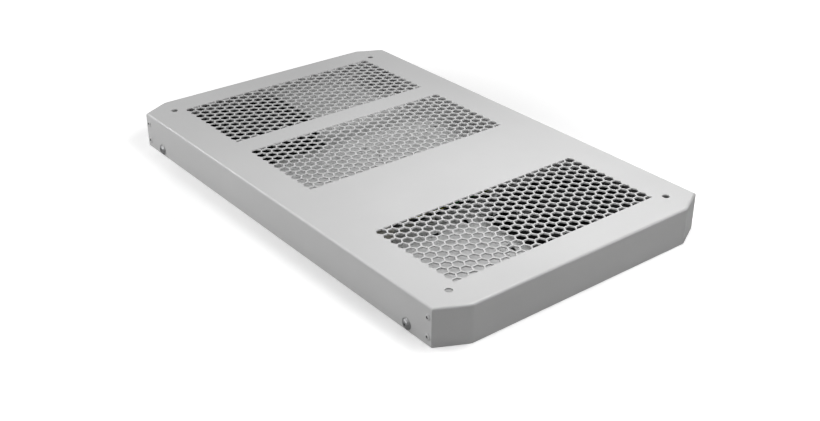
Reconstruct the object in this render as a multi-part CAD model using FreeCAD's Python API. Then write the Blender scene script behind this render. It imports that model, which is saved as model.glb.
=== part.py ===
import FreeCAD, Part
import math
import os

# Rack fan tray: a perforated hood over a base tray with six places for axial fans, two of them fitted.
# X is the width, Y the length with the front at -Y, Z is up. The origin is the centre of the underside.

# Tray outline and hood sheet
tray_width = 340.0
tray_length = 550.0
tray_height = 40.0
corner_cut_x = 31.5
corner_cut_y = 16.0
hood_sheet = 1.5
hood_fold = 2.5

# Hexagonal ventilation holes, at twice the product's pitch, so that each stands for four
hex_pitch = 22.0
hex_flats = 18.8
hex_rows = 5
hex_columns = 14

# Fan places
fan_pitch = 143.0
rear_row_inset = 91.0
front_row_inset = 93.5

# Fixing holes in the base and the access holes above them
fixing_inset = 29.5
fixing_hole_radius = 3.5
access_hole_radius = 3.75

# Base tray
base_sheet = 1.5
base_clearance = 0.5
base_fold = 2.5
flange_height = 16.0
flange_end_gap = 3.0
opening_margin = 0.2

# Riveted corner tabs of the hood
tab_length = 14.0
tab_gap = 0.1
rivet_inset = 5.7
rivet_upper_z = 28.5
rivet_lower_z = 8.6
rivet_radius = 1.6
rivet_clearance = 0.05
rivet_head_radius = 3.25
rivet_crown_radius = 1.7
rivet_head_height = 0.9
rivet_tail_radius = 2.3
rivet_tail_length = 1.8
mandrel_radius = 1.0
mandrel_depth = 1.0

# Screws through the long sides and their press nuts
side_screw_inset = 34.5
side_screw_z = 6.8
side_screw_radius = 2.5
side_screw_clearance = 0.25
side_screw_tip = 2.0
side_head_radius = 5.9
side_head_height = 2.6
side_recess_depth = 1.4
side_recess_reach = 2.4
side_recess_width = 1.0
side_nut_radius = 4.25
side_nut_length = 4.0
thread_clearance = 0.03

# Frame of an axial fan
fan_size = 119.0
fan_depth = 25.4
fan_hole_spacing = 104.8
fan_hole_radius = 2.2
fan_corner_radius = 4.0
fan_flange = 4.0
fan_bore_radius = 57.3
fan_wall = 1.9
bore_flare = 1.6
strut_width = 5.0
lead_strut_width = 10.0
strut_depth = 4.0
motor_base_radius = 31.0
motor_base_depth = 3.0
corner_rib = 2.0
corner_rib_end = 10.0
terminal_boss = 9.0

# Impeller
blade_count = 7
hub_radius = 30.5
hub_wall = 1.5
hub_bottom = 2.5
hub_gap = 1.6
tip_clearance = 1.2
blade_thickness = 1.6
blade_edge = 0.8
blade_root_angle = 42.0
blade_tip_angle = 27.0
blade_camber = 0.07
blade_sweep = 12.0
blade_bottom = 3.5
blade_height = 15.5
blade_root_overlap = 2.0
blade_tip_overlap = 3.0

# Motor
rotor_wall = 2.5
rotor_height = 13.0
rotor_fit = 0.05
air_gap = 0.6
stator_height = 11.0
stator_poles = 6
stator_core_radius = 12.0
pole_width = 6.0
bearing_radius = 5.0
bearing_height = 4.0
bearing_fit = 0.03
bearing_tube_wall = 1.5
shaft_radius = 1.5
shaft_clearance = 0.04
shaft_end_gap = 0.5

# Finger guard
guard_wire = 1.2
guard_rings = 4
guard_bore_gap = 3.3
guard_inner_radius = 16.0
guard_eye_radius = 4.6

# Fan fixings: press-in studs with nuts
stud_radius = 2.0
stud_fit = 0.05
stud_head_radius = 3.2
stud_head_height = 0.8
stud_tip = 2.0
nut_height = 3.2
nut_flats = 7.0
open_hole_radius = 2.25

# Plugs and leads
plug_length = 12.0
plug_width = 10.0
plug_height = 10.0
plug_lift = 7.0
plug_offset = 36.0
terminal_gap = 0.6
plug_edge = 1.0
boot_radius = 3.2
boot_length = 4.0
lead_radius = 2.0
earth_lead_radius = 1.5
lead_rest = 0.1
bend_share = 0.45

# Tie bridges in the base and the ties round the leads
bridge_strip = 5.0
bridge_slot = 2.0
bridge_length = 13.0
bridge_lift = 3.0
bridge_ramp = 3.0
tie_width = 2.6
tie_band = 1.0
tie_slack = 0.3
tie_head = 4.0
tie_side_gap = 11.5

# Terminal block
block_x = -92.0
block_y = -74.0
block_depth = 20.0
block_height = 17.0
block_end = 5.0
block_step = 5.0
pole_pitch = 9.0
pole_count = 3
entry_radius = 2.6
entry_depth = 6.0
entry_z = 7.5
clamp_radius = 2.0
clamp_hole_clearance = 0.3
clamp_hole_depth = 6.0
clamp_height = 4.0
clamp_offset = 5.0
block_screw_radius = 1.5
block_screw_clearance = 0.15
block_head_radius = 2.8
block_head_height = 2.0

# Earth stud and lug
earth_x = 76.0
earth_y = -76.0
earth_stud_radius = 2.5
earth_stud_length = 14.0
earth_nut_flats = 8.0
earth_nut_height = 4.0
washer_radius = 5.0
washer_height = 1.0
lug_sheet = 0.8
lug_radius = 4.6
barrel_length = 9.0
barrel_radius = 2.3
barrel_gap = 0.6

# Grommet of the supply lead
grommet_x = -120.0
grommet_y = -30.0
grommet_bore = 4.0
grommet_neck = 6.0
grommet_radius = 8.0
grommet_lip = 2.0

# Places worked out from the driving dimensions
half_width = tray_width / 2
half_length = tray_length / 2
corner_x = half_width - corner_cut_x
corner_y = half_length - corner_cut_y
fixing_spacing_x = tray_width - 2 * fixing_inset
fixing_spacing_y = tray_length - 2 * fixing_inset
hood_inner_x = half_width - hood_sheet
hood_inner_z = tray_height - hood_sheet
base_half_width = hood_inner_x - base_clearance
base_half_length = half_length - hood_sheet - base_clearance
rear_row_y = half_length - rear_row_inset
middle_row_y = rear_row_y - fan_pitch
front_row_y = front_row_inset - half_length
fan_rows = (rear_row_y, middle_row_y, front_row_y)
fan_columns = (-fan_pitch / 2, fan_pitch / 2)
rear_fan = (fan_columns[0], rear_row_y)
front_fan = (fan_columns[1], front_row_y)
fitted_fans = {"rear": (rear_fan, 0), "front": (front_fan, -90)}
fan_bottom = base_sheet + guard_wire
fan_top = fan_bottom + fan_depth
side_screw_y = corner_y - side_screw_inset
rivet_y = corner_y - rivet_inset
bearing_tube_bore = bearing_radius + bearing_fit
bearing_tube_radius = bearing_tube_bore + bearing_tube_wall
air_opening_radius = fan_bore_radius + opening_margin
duct_radius = fan_bore_radius + fan_wall
plug_seat = math.sqrt(duct_radius**2 - (plug_offset - plug_width / 2) ** 2) + terminal_gap
guard_outer_radius = fan_bore_radius - guard_bore_gap
motor_base_z = fan_depth - motor_base_depth
hub_top = motor_base_z - hub_gap
rotor_radius = hub_radius - hub_wall - rotor_fit
rotor_bottom = hub_bottom + hub_wall + rotor_fit
stator_radius = rotor_radius - rotor_wall - air_gap
tube_bottom = rotor_bottom + air_gap
lead_z = fan_bottom + plug_lift + plug_height / 2
tied_z = bridge_lift + base_sheet + lead_radius + lead_rest
tie_x = tie_side_gap - base_half_width
block_half = pole_pitch * pole_count / 2 + block_end
pole_z = base_sheet + entry_z
lug_z = base_sheet + washer_height
barrel_x = earth_x - washer_radius - barrel_gap - barrel_length

# Cuts run past the faces they open by this much
overcut = 1.0

X_AXIS = FreeCAD.Vector(1, 0, 0)
Z_AXIS = FreeCAD.Vector(0, 0, 1)


def vec(x, y, z):
    return FreeCAD.Vector(x, y, z)


def box(xs, ys, zs):
    x0, x1 = sorted(xs)
    y0, y1 = sorted(ys)
    z0, z1 = sorted(zs)
    return Part.makeBox(x1 - x0, y1 - y0, z1 - z0, vec(x0, y0, z0))


def rod(radius, place, zs):
    return Part.makeCylinder(radius, zs[1] - zs[0], vec(place[0], place[1], zs[0]), Z_AXIS)


def cross_rod(radius, side, y, z, xs):
    return Part.makeCylinder(radius, xs[1] - xs[0], vec(side * xs[0], y, z), X_AXIS * side)


def prism(points, zs):
    corners = [vec(x, y, zs[0]) for x, y in points]
    return Part.Face(Part.makePolygon(corners + corners[:1])).extrude(vec(0, 0, zs[1] - zs[0]))


def tube(outer, inner, place, zs):
    return rod(outer, place, zs).cut(rod(inner, place, (zs[0] - overcut, zs[1] + overcut)))


def joined(shapes):
    return shapes[0].fuse(shapes[1:]).removeSplitter()


def turned(shape, degrees):
    copy = shape.copy()
    copy.rotate(vec(0, 0, 0), Z_AXIS, degrees)
    return copy


def moved(shape, x, y, z=0.0):
    copy = shape.copy()
    copy.translate(vec(x, y, z))
    return copy


def write(name, shapes):
    Part.makeCompound([s for shape in shapes for s in shape.Solids]).exportStep("parts/" + name + ".step")


def corners_of(spacing_x, spacing_y, centre=(0, 0)):
    signs = [(sx, sy) for sx in (-1, 1) for sy in (-1, 1)]
    return [(centre[0] + sx * spacing_x / 2, centre[1] + sy * spacing_y / 2) for sx, sy in signs]


# Regular hexagon with its flats facing front and rear
def hexagon(x, y, flats):
    radius = flats / math.sqrt(3)
    turns = [math.radians(60 * k) for k in range(6)]
    return [(x + radius * math.cos(a), y + radius * math.sin(a)) for a in turns]


# Outline of the tray with its four cut corners, drawn inside by an inset
def corner_outline(inset):
    slope = math.hypot(corner_cut_x, corner_cut_y)
    reach = corner_cut_y * half_width + corner_cut_x * corner_y - inset * slope
    x = half_width - inset
    y = half_length - inset
    y_side = (reach - corner_cut_y * x) / corner_cut_x
    x_end = (reach - corner_cut_x * y) / corner_cut_y
    rear = [(x, y_side), (x_end, y), (-x_end, y), (-x, y_side)]
    return rear + [(-px, -py) for px, py in rear]


# Body of the hood, rounded along the top and at the four upright folds beside the end walls
def hood_body(inset, top, fold):
    body = prism(corner_outline(inset), (0, top))
    end_y = half_length - inset
    uprights = [e for e in body.Edges if e.BoundBox.ZLength > top / 2]
    folds = [e for e in uprights if abs(abs(e.BoundBox.Center.y) - end_y) < 0.01]
    body = body.makeFillet(fold, folds)
    rim = [e for e in body.Edges if e.BoundBox.ZMin > top - 0.01]
    return body.makeFillet(fold, rim)


def clipped(points, limit, above):
    kept = []
    for k, (x, y) in enumerate(points):
        px, py = points[k - 1]
        inside = (y > limit) == above
        if ((py > limit) == above) != inside:
            kept.append((px + (x - px) * (limit - py) / (y - py), limit))
        if inside:
            kept.append((x, y))
    return kept


# One ventilation window: staggered columns of hexagons with straight front and rear edges
def window_holes(centre_y):
    column_pitch = hex_pitch * math.sqrt(3) / 2
    first = (hex_rows - 0.5) / 2 * hex_pitch
    edge = first + hex_flats / 2
    holes = []
    for column in range(hex_columns):
        x = (column - (hex_columns - 1) / 2) * column_pitch
        start = centre_y + first - (column % 2) * hex_pitch / 2
        holes += [hexagon(x, start - row * hex_pitch, hex_flats) for row in range(hex_rows)]
        if column % 2:
            holes.append(clipped(hexagon(x, start + hex_pitch, hex_flats), centre_y + edge, False))
        else:
            last = start - hex_rows * hex_pitch
            holes.append(clipped(hexagon(x, last, hex_flats), centre_y - edge, True))
    return [prism(hole, (hood_inner_z - overcut, tray_height + overcut)) for hole in holes]


# Tab behind the long wall, bent from the wall of the cut corner
def corner_tab(side, end):
    faces = [side * (hood_inner_x - tab_gap - t) for t in (0, hood_sheet)]
    zs = (0, hood_inner_z - hood_fold)
    tab = box(faces, (end * (corner_y - tab_length), end * corner_y), zs)
    bend = box((side * half_width, faces[1]), (end * (corner_y - hood_sheet), end * corner_y), zs)
    return tab.fuse(bend).common(prism(corner_outline(hood_sheet / 2), zs))


def make_hood():
    outer = hood_body(0, tray_height, hood_fold)
    hood = outer.cut(hood_body(hood_sheet, hood_inner_z, hood_fold - hood_sheet))
    quarters = [(side, end) for side in (-1, 1) for end in (-1, 1)]
    hood = hood.fuse([corner_tab(side, end) for side, end in quarters])
    cutters = [hole for row in fan_rows for hole in window_holes(row)]
    for place in corners_of(fixing_spacing_x, fixing_spacing_y):
        cutters.append(rod(access_hole_radius, place, (hood_inner_z - overcut, tray_height + overcut)))
    through = (hood_inner_x - 2 * hood_sheet, half_width + overcut)
    for side, end in quarters:
        for z in (rivet_lower_z, rivet_upper_z):
            radius = rivet_radius + rivet_clearance
            cutters.append(cross_rod(radius, side, end * rivet_y, z, through))
        radius = side_screw_radius + side_screw_clearance
        cutters.append(cross_rod(radius, side, end * side_screw_y, side_screw_z, through))
    return hood.cut(Part.makeCompound(cutters)).removeSplitter()


# Blind rivet from the long wall through the tab, with the hole of its mandrel
def make_rivet(side, end, z):
    y = end * rivet_y
    inner = hood_inner_x - tab_gap - hood_sheet
    shank = cross_rod(rivet_radius, side, y, z, (inner, half_width))
    tail = cross_rod(rivet_tail_radius, side, y, z, (inner - rivet_tail_length, inner))
    head = Part.makeCone(
        rivet_head_radius,
        rivet_crown_radius,
        rivet_head_height,
        vec(side * half_width, y, z),
        X_AXIS * side,
    )
    hole_xs = (half_width - mandrel_depth, half_width + rivet_head_height)
    hole = cross_rod(mandrel_radius, side, y, z, hole_xs)
    return joined([shank, tail, head]).cut(hole)


# Flanged dome-head screw with a cross recess
def make_side_screw(side, end):
    y = end * side_screw_y
    nut_inner = base_half_width - base_sheet - side_nut_length
    shank = cross_rod(side_screw_radius, side, y, side_screw_z, (nut_inner - side_screw_tip, half_width))
    dome_radius = (side_head_radius**2 + side_head_height**2) / (2 * side_head_height)
    centre = half_width + side_head_height - dome_radius
    dome = Part.makeSphere(dome_radius, vec(side * centre, y, side_screw_z))
    disc = cross_rod(side_head_radius, side, y, side_screw_z, (half_width, half_width + side_head_height))
    floor = half_width + side_head_height - side_recess_depth
    xs = (side * floor, side * (floor + side_head_height))
    wide, narrow = side_recess_reach, side_recess_width / 2
    upright = box(xs, (y - narrow, y + narrow), (side_screw_z - wide, side_screw_z + wide))
    flat = box(xs, (y - wide, y + wide), (side_screw_z - narrow, side_screw_z + narrow))
    return joined([shank, disc.common(dome)]).cut([upright, flat])


def make_side_nut(side, end):
    face = base_half_width - base_sheet
    y = end * side_screw_y
    body = cross_rod(side_nut_radius, side, y, side_screw_z, (face - side_nut_length, face))
    radius = side_screw_radius + thread_clearance
    thread_xs = (face - side_nut_length - overcut, face + overcut)
    return body.cut(cross_rod(radius, side, y, side_screw_z, thread_xs))


# Edge of the base folded upwards, with its outer face at x = reach
def folded_edge(reach, half_span):
    root = reach - 2 * base_fold
    outer = box((root, reach), (-half_span, half_span), (0, flange_height))
    outer = outer.makeFillet(base_fold, [e for e in outer.Edges if is_edge_at(e, reach, 0)])
    inner_x = reach - base_sheet
    span = half_span + overcut
    inner = box((root - overcut, inner_x), (-span, span), (base_sheet, flange_height + overcut))
    inner_fold = [e for e in inner.Edges if is_edge_at(e, inner_x, base_sheet)]
    return outer.cut(inner.makeFillet(base_fold - base_sheet, inner_fold))


def is_edge_at(edge, x, z):
    ends = [v.Point for v in edge.Vertexes]
    return all(abs(p.x - x) < 0.01 and abs(p.z - z) < 0.01 for p in ends)


# Strip raised out of the base for a cable tie: the opening it leaves, and the strip
def tie_bridge(x, y, degrees):
    half = bridge_length / 2
    width = bridge_strip + 2 * bridge_slot
    opening = box((-width / 2, width / 2), (-half, half), (-overcut, base_sheet + overcut))
    low = [(-half, 0), (bridge_ramp - half, bridge_lift), (half - bridge_ramp, bridge_lift), (half, 0)]
    outline = low + [(py, pz + base_sheet) for py, pz in reversed(low)]
    points = [vec(-bridge_strip / 2, py, pz) for py, pz in outline]
    strip = Part.Face(Part.makePolygon(points + points[:1])).extrude(X_AXIS * bridge_strip)
    return [moved(turned(part, degrees), x, y) for part in (opening, strip)]


# Places of the tie bridges: x, y and the direction of the lead, 0 along Y and 90 along X
free_bridges = [(0.0, -108.0, 0), (0.0, -178.0, 0), (-46.0, -110.0, 90)]
tied_bridges = {"rear": [(tie_x, 66.0, 0), (tie_x, -14.0, 0)], "front": [(-28.0, -85.5, 90)]}


def make_base():
    inset = hood_sheet + base_clearance + base_fold
    plate = prism(corner_outline(inset), (0, base_sheet))
    side_span = corner_y - tab_length - flange_end_gap
    end_span = corner_x - flange_end_gap
    sides = [turned(folded_edge(base_half_width, side_span), a) for a in (0, 180)]
    ends = [turned(folded_edge(base_half_length, end_span), a) for a in (90, 270)]
    cutters = []
    for place in corners_of(fixing_spacing_x, fixing_spacing_y):
        cutters.append(rod(fixing_hole_radius, place, (-overcut, base_sheet + overcut)))
    for x in fan_columns:
        for y in fan_rows:
            cutters += fan_place_cuts((x, y))
    for place in block_screw_places():
        cutters.append(rod(block_screw_radius + thread_clearance, place, (-overcut, base_sheet + overcut)))
    cutters.append(rod(grommet_neck, (grommet_x, grommet_y), (-overcut, base_sheet + overcut)))
    cutters += stud_cuts((earth_x, earth_y), earth_stud_radius)
    radius = side_screw_radius + side_screw_clearance
    through = (base_half_width - base_fold, base_half_width + overcut)
    for side in (-1, 1):
        for end in (-1, 1):
            cutters.append(cross_rod(radius, side, end * side_screw_y, side_screw_z, through))
    bridges = [tie_bridge(*b) for b in free_bridges + tied_bridges["rear"] + tied_bridges["front"]]
    cutters += [opening for opening, strip in bridges]
    sheet = joined([plate] + sides + ends).cut(cutters)
    return joined([sheet] + [strip for opening, strip in bridges])


def stud_cuts(place, radius):
    return [
        rod(radius + stud_fit, place, (-overcut, base_sheet + overcut)),
        rod(radius - stud_radius + stud_head_radius + stud_fit, place, (-overcut, stud_head_height)),
    ]


# A fitted place has its air opening and stud holes, and an open one only its four plain holes
def fan_place_cuts(centre):
    places = corners_of(fan_hole_spacing, fan_hole_spacing, centre)
    if centre not in (rear_fan, front_fan):
        return [rod(open_hole_radius, place, (-overcut, base_sheet + overcut)) for place in places]
    holes = [cut for place in places for cut in stud_cuts(place, stud_radius)]
    return holes + [rod(air_opening_radius, centre, (-overcut, base_sheet + overcut))]


def make_stud(place, radius, top):
    head = rod(radius - stud_radius + stud_head_radius, place, (0, stud_head_height))
    return joined([head, rod(radius, place, (stud_head_height, top))])


def make_nut(place, radius, flats, z, height):
    body = prism(hexagon(place[0], place[1], flats), (z, z + height))
    return body.cut(rod(radius + thread_clearance, place, (z - overcut, z + height + overcut)))


# Square die-cast frame: two flanges, the round duct between them, corner ribs, struts and motor seat
def make_fan_frame():
    half = fan_size / 2
    flange = box((-half, half), (-half, half), (0, fan_flange))
    flange = flange.makeFillet(fan_corner_radius, [e for e in flange.Edges if e.BoundBox.ZLength > 1])
    duct = rod(duct_radius, (0, 0), (0, fan_depth))
    rib_xs = (fan_bore_radius, half * math.sqrt(2) - corner_rib_end)
    rib = box(rib_xs, (-corner_rib / 2, corner_rib / 2), (0, fan_depth))
    ribs = [turned(rib, angle) for angle in (45, 135, 315)]
    boss_x = (-plug_seat, terminal_boss - plug_seat)
    boss_y = (-plug_offset - plug_width / 2, plug_width / 2 - plug_offset)
    boss = box(boss_x, boss_y, (0, fan_depth))
    body = joined([flange, moved(flange, 0, 0, fan_depth - fan_flange), duct, boss] + ribs)
    through = (-overcut, fan_depth + overcut)
    wide = fan_bore_radius + bore_flare
    flares = [
        Part.makeCone(wide, fan_bore_radius, bore_flare, vec(0, 0, 0)),
        Part.makeCone(fan_bore_radius, wide, bore_flare, vec(0, 0, fan_depth - bore_flare)),
    ]
    holes = [rod(fan_hole_radius, p, through) for p in corners_of(fan_hole_spacing, fan_hole_spacing)]
    body = body.cut([rod(fan_bore_radius, (0, 0), through)] + flares + holes)
    struts = []
    for k in range(4):
        width = lead_strut_width if k == 2 else strut_width
        xs = (motor_base_radius - motor_base_depth, duct_radius)
        strut = box(xs, (-width / 2, width / 2), (fan_depth - strut_depth, fan_depth))
        struts.append(turned(strut, 45 + 90 * k))
    base = rod(motor_base_radius, (0, 0), (motor_base_z, fan_depth))
    seat = tube(bearing_tube_radius, bearing_tube_bore, (0, 0), (tube_bottom, motor_base_z))
    return joined([body, base, seat] + struts)


# Section of a blade at one radius: a thin cambered strip, as a closed wire
def blade_section(radius, share):
    angle = math.radians(blade_root_angle + share * (blade_tip_angle - blade_root_angle))
    chord = blade_height / math.sin(angle)
    along = vec(0, math.cos(angle), math.sin(angle))
    across = vec(0, -math.sin(angle), math.cos(angle))
    centre = vec(radius, share * blade_sweep, blade_bottom + blade_height / 2)
    bow = across * (blade_camber * chord)
    edge = across * (blade_edge / 2)
    belly = across * (blade_thickness / 2)
    front = centre - along * (chord / 2)
    back = centre + along * (chord / 2)
    upper = Part.Arc(front + edge, centre + bow + belly, back + edge).toShape()
    tail = Part.LineSegment(back + edge, back - edge).toShape()
    lower = Part.Arc(back - edge, centre + bow - belly, front - edge).toShape()
    nose = Part.LineSegment(front - edge, front + edge).toShape()
    return Part.Wire([upper, tail, lower, nose])


def make_impeller():
    tip = fan_bore_radius - tip_clearance
    cup = rod(hub_radius, (0, 0), (hub_bottom, hub_top))
    cup = cup.cut(rod(hub_radius - hub_wall, (0, 0), (hub_bottom + hub_wall, hub_top + overcut)))
    root = hub_radius - hub_wall
    radii = (root - blade_root_overlap, (root + tip) / 2, tip + blade_tip_overlap)
    blade = Part.makeLoft([blade_section(r, (r - root) / (tip - root)) for r in radii], True)
    zs = (hub_bottom, hub_top)
    blade = blade.common(tube(tip, hub_radius - hub_wall / 2, (0, 0), zs))
    blades = [turned(blade, 360 * k / blade_count) for k in range(blade_count)]
    bore = rod(shaft_radius, (0, 0), (hub_bottom - overcut, hub_top))
    return joined([cup] + blades).cut(bore)


def make_rotor():
    zs = (rotor_bottom, rotor_bottom + rotor_height)
    return tube(rotor_radius, rotor_radius - rotor_wall, (0, 0), zs)


def make_shaft():
    return rod(shaft_radius, (0, 0), (hub_bottom, motor_base_z - shaft_end_gap))


# Laminated stator: a core round the bearing tube with its poles
def make_stator():
    zs = (motor_base_z - hub_gap - stator_height, motor_base_z - hub_gap)
    pole = box((0, stator_radius - air_gap), (-pole_width / 2, pole_width / 2), zs)
    poles = [turned(pole, 360 * k / stator_poles) for k in range(stator_poles)]
    core = joined([rod(stator_core_radius, (0, 0), zs)] + poles)
    return core.cut(rod(bearing_tube_radius + rotor_fit, (0, 0), (zs[0] - overcut, zs[1] + overcut)))


def make_bearings():
    inner = shaft_radius + shaft_clearance
    levels = (tube_bottom, motor_base_z - bearing_height)
    return [tube(bearing_radius, inner, (0, 0), (z, z + bearing_height)) for z in levels]


# Finger guard: rings in the air opening below two crossed wires that end in eyes under the frame
def make_guard():
    step = (guard_outer_radius - guard_inner_radius) / (guard_rings - 1)
    ring_zs = (-2 * guard_wire, -guard_wire)
    rings = []
    for k in range(guard_rings):
        radius = guard_inner_radius + k * step
        rings.append(tube(radius + guard_wire / 2, radius - guard_wire / 2, (0, 0), ring_zs))
    reach = fan_hole_spacing / math.sqrt(2)
    wire = box((guard_inner_radius - guard_wire, reach), (-guard_wire, guard_wire), (-guard_wire, 0))
    wires = [turned(wire, 45 + 90 * k) for k in range(4)]
    places = corners_of(fan_hole_spacing, fan_hole_spacing)
    eyes = [rod(guard_eye_radius, p, (-guard_wire, 0)) for p in places]
    holes = [rod(fan_hole_radius, p, (-guard_wire - overcut, overcut)) for p in places]
    return joined(rings + wires + eyes).cut(holes)


# Two-pole plug on the frame's terminals, with a short boot for its lead
def make_plug():
    x0 = -plug_seat - plug_length
    ys = (-plug_offset - plug_width / 2, plug_width / 2 - plug_offset)
    body = box((x0, -plug_seat), ys, (plug_lift, plug_lift + plug_height))
    body = body.makeFillet(plug_edge, [e for e in body.Edges if e.BoundBox.XLength > plug_edge])
    place = vec(x0, -plug_offset, plug_lift + plug_height / 2)
    return joined([body, Part.makeCylinder(boot_radius, boot_length, place, X_AXIS * -1)])


def placed(shape, fan, degrees):
    return moved(turned(shape, degrees), fan[0], fan[1], fan_bottom)


# Start of a fan's lead: the end of its plug's boot
def plug_exit(fan, degrees):
    point = vec(-plug_seat - plug_length - boot_length, -plug_offset, 0)
    place = FreeCAD.Rotation(Z_AXIS, degrees).multVec(point)
    return (place.x + fan[0], place.y + fan[1], lead_z)


# Round lead along straight runs joined by tangent arcs
def make_lead(name, points, radius):
    route = [vec(*p) for p in points]
    edges = []
    last = route[0]
    radii = []
    for before, corner, after in zip(route, route[1:], route[2:]):
        back = before - corner
        ahead = after - corner
        half_turn = (math.pi - back.getAngle(ahead)) / 2
        reach = bend_share * min(back.Length, ahead.Length)
        back.normalize()
        ahead.normalize()
        start = corner + back * reach
        end = corner + ahead * reach
        bend = reach / math.tan(half_turn)
        inward = (back + ahead).normalize()
        middle = corner + inward * (bend / math.cos(half_turn) - bend)
        edges.append(Part.LineSegment(last, start).toShape())
        edges.append(Part.Arc(start, middle, end).toShape())
        radii.append(round(bend, 1))
        last = end
    edges.append(Part.LineSegment(last, route[-1]).toShape())
    path = Part.Wire(edges)
    section = Part.Wire(Part.makeCircle(radius, route[0], route[1] - route[0]))
    lead = path.makePipeShell([section], True, False)
    share = lead.Volume / (math.pi * radius**2 * path.Length)
    print(name, "length", round(path.Length), "bend radii", radii, "volume over section", round(share, 4))
    return lead


def make_tie(x, y, degrees):
    inner_x = max(bridge_strip / 2, lead_radius) + tie_slack
    low = bridge_lift - tie_slack
    high = tied_z + lead_radius + tie_slack
    ys = (-tie_width / 2, tie_width / 2)
    outer = box((-inner_x - tie_band, inner_x + tie_band), ys, (low - tie_band, high + tie_band))
    inner = box((-inner_x, inner_x), (-tie_width, tie_width), (low, high))
    head_x = (inner_x, inner_x + tie_head)
    head = box(head_x, (-tie_head / 2, tie_head / 2), (high - tie_head, high))
    return moved(turned(joined([outer.cut(inner), head]), degrees), x, y)


def block_screw_places():
    reach = block_half - block_end / 2
    return [(block_x, block_y - reach), (block_x, block_y + reach)]


def pole_places():
    return [block_y + (k - (pole_count - 1) / 2) * pole_pitch for k in range(pole_count)]


# Terminal block: stepped moulding with lead entries on both long sides and clamp screws on top
def make_block():
    half = block_depth / 2
    ys = (block_y - block_half, block_y + block_half)
    top = base_sheet + block_height
    foot = box((block_x - half, block_x + half), ys, (base_sheet, top - block_step))
    crown_ys = (ys[0] + block_end, ys[1] - block_end)
    crown = box((block_x - half, block_x + half), crown_ys, (base_sheet, top))
    clamp_zs = (top - clamp_hole_depth, top + overcut)
    cuts = []
    for y in pole_places():
        for side in (-1, 1):
            place = vec(block_x + side * half, y, pole_z)
            cuts.append(Part.makeCylinder(entry_radius, entry_depth, place, X_AXIS * -side))
            hole = (block_x + side * clamp_offset, y)
            cuts.append(rod(clamp_radius + clamp_hole_clearance, hole, clamp_zs))
    for place in block_screw_places():
        cuts.append(rod(block_screw_radius + block_screw_clearance, place, (0, top)))
        seat = top - block_step - block_head_height
        cuts.append(rod(block_head_radius + block_screw_clearance, place, (seat, top)))
    return joined([foot, crown]).cut(cuts)


def make_clamp_screws():
    bottom = base_sheet + block_height - clamp_hole_depth
    places = [(block_x + side * clamp_offset, y) for y in pole_places() for side in (-1, 1)]
    return [rod(clamp_radius, place, (bottom, bottom + clamp_height)) for place in places]


def make_block_screws():
    seat = base_sheet + block_height - block_step - block_head_height
    screws = []
    for place in block_screw_places():
        shank = rod(block_screw_radius, place, (0, seat))
        screws.append(joined([shank, rod(block_head_radius, place, (seat, seat + block_head_height))]))
    return screws


# Ring lug under the earth nut, with its barrel pointing to the terminal block
def make_lug():
    place = (earth_x, earth_y)
    zs = (lug_z, lug_z + lug_sheet)
    ring = rod(lug_radius, place, zs)
    neck_xs = (barrel_x + barrel_length / 2, earth_x)
    neck = box(neck_xs, (earth_y - barrel_radius, earth_y + barrel_radius), zs)
    start = vec(barrel_x, earth_y, lug_z + barrel_radius)
    barrel = Part.makeCylinder(barrel_radius, barrel_length, start, X_AXIS)
    hole = rod(earth_stud_radius + stud_fit, place, (0, earth_stud_length))
    return joined([ring, neck, barrel]).cut(hole)


def make_washers():
    hole = earth_stud_radius + stud_fit
    place = (earth_x, earth_y)
    above = lug_z + lug_sheet
    return [tube(washer_radius, hole, place, (z, z + washer_height)) for z in (base_sheet, above)]


# Rubber grommet that lines the supply lead's hole
def make_grommet():
    place = (grommet_x, grommet_y)
    neck = rod(grommet_neck, place, (0, base_sheet))
    lip = rod(grommet_radius, place, (base_sheet, base_sheet + grommet_lip))
    return joined([neck, lip]).cut(rod(grommet_bore, place, (-overcut, base_sheet + grommet_lip + overcut)))


def rear_lead_points():
    return [
        plug_exit(*fitted_fans["rear"]),
        (tie_x + 6.5, 148.0, lead_z),
        (tie_x - 3.0, 139.0, 12.5),
        (tie_x - 4.0, 121.0, 9.0),
        (tie_x - 2.0, 96.0, 7.2),
        (*tied_bridges["rear"][0][:2], tied_z),
        (tie_x - 0.9, 27.0, tied_z - 1.0),
        (*tied_bridges["rear"][1][:2], tied_z),
        (tie_x + 4.0, -38.0, 7.0),
        (-141.0, -55.5, 7.8),
        (-125.0, -63.5, 8.6),
        (-110.5, pole_places()[2], pole_z),
        (block_x - block_depth / 2 + entry_depth, pole_places()[2], pole_z),
    ]


def front_lead_points():
    return [
        plug_exit(*fitted_fans["front"]),
        (35.5, -102.5, lead_z),
        (27.5, -92.0, 12.0),
        (12.0, -87.3, 9.0),
        (-6.0, -86.3, 7.3),
        (*tied_bridges["front"][0][:2], tied_z),
        (-50.0, -84.5, 7.4),
        (-70.0, pole_places()[0], pole_z),
        (block_x + block_depth / 2 - entry_depth, pole_places()[0], pole_z),
    ]


def earth_lead_points():
    return [
        (block_x + block_depth / 2 - entry_depth, pole_places()[1], pole_z),
        (-70.0, pole_places()[1], pole_z),
        (-48.0, -76.5, 5.6),
        (-8.0, -74.0, 3.4),
        (28.0, -78.0, 3.6),
        (49.0, earth_y, lug_z + barrel_radius),
        (barrel_x, earth_y, lug_z + barrel_radius),
    ]


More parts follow.
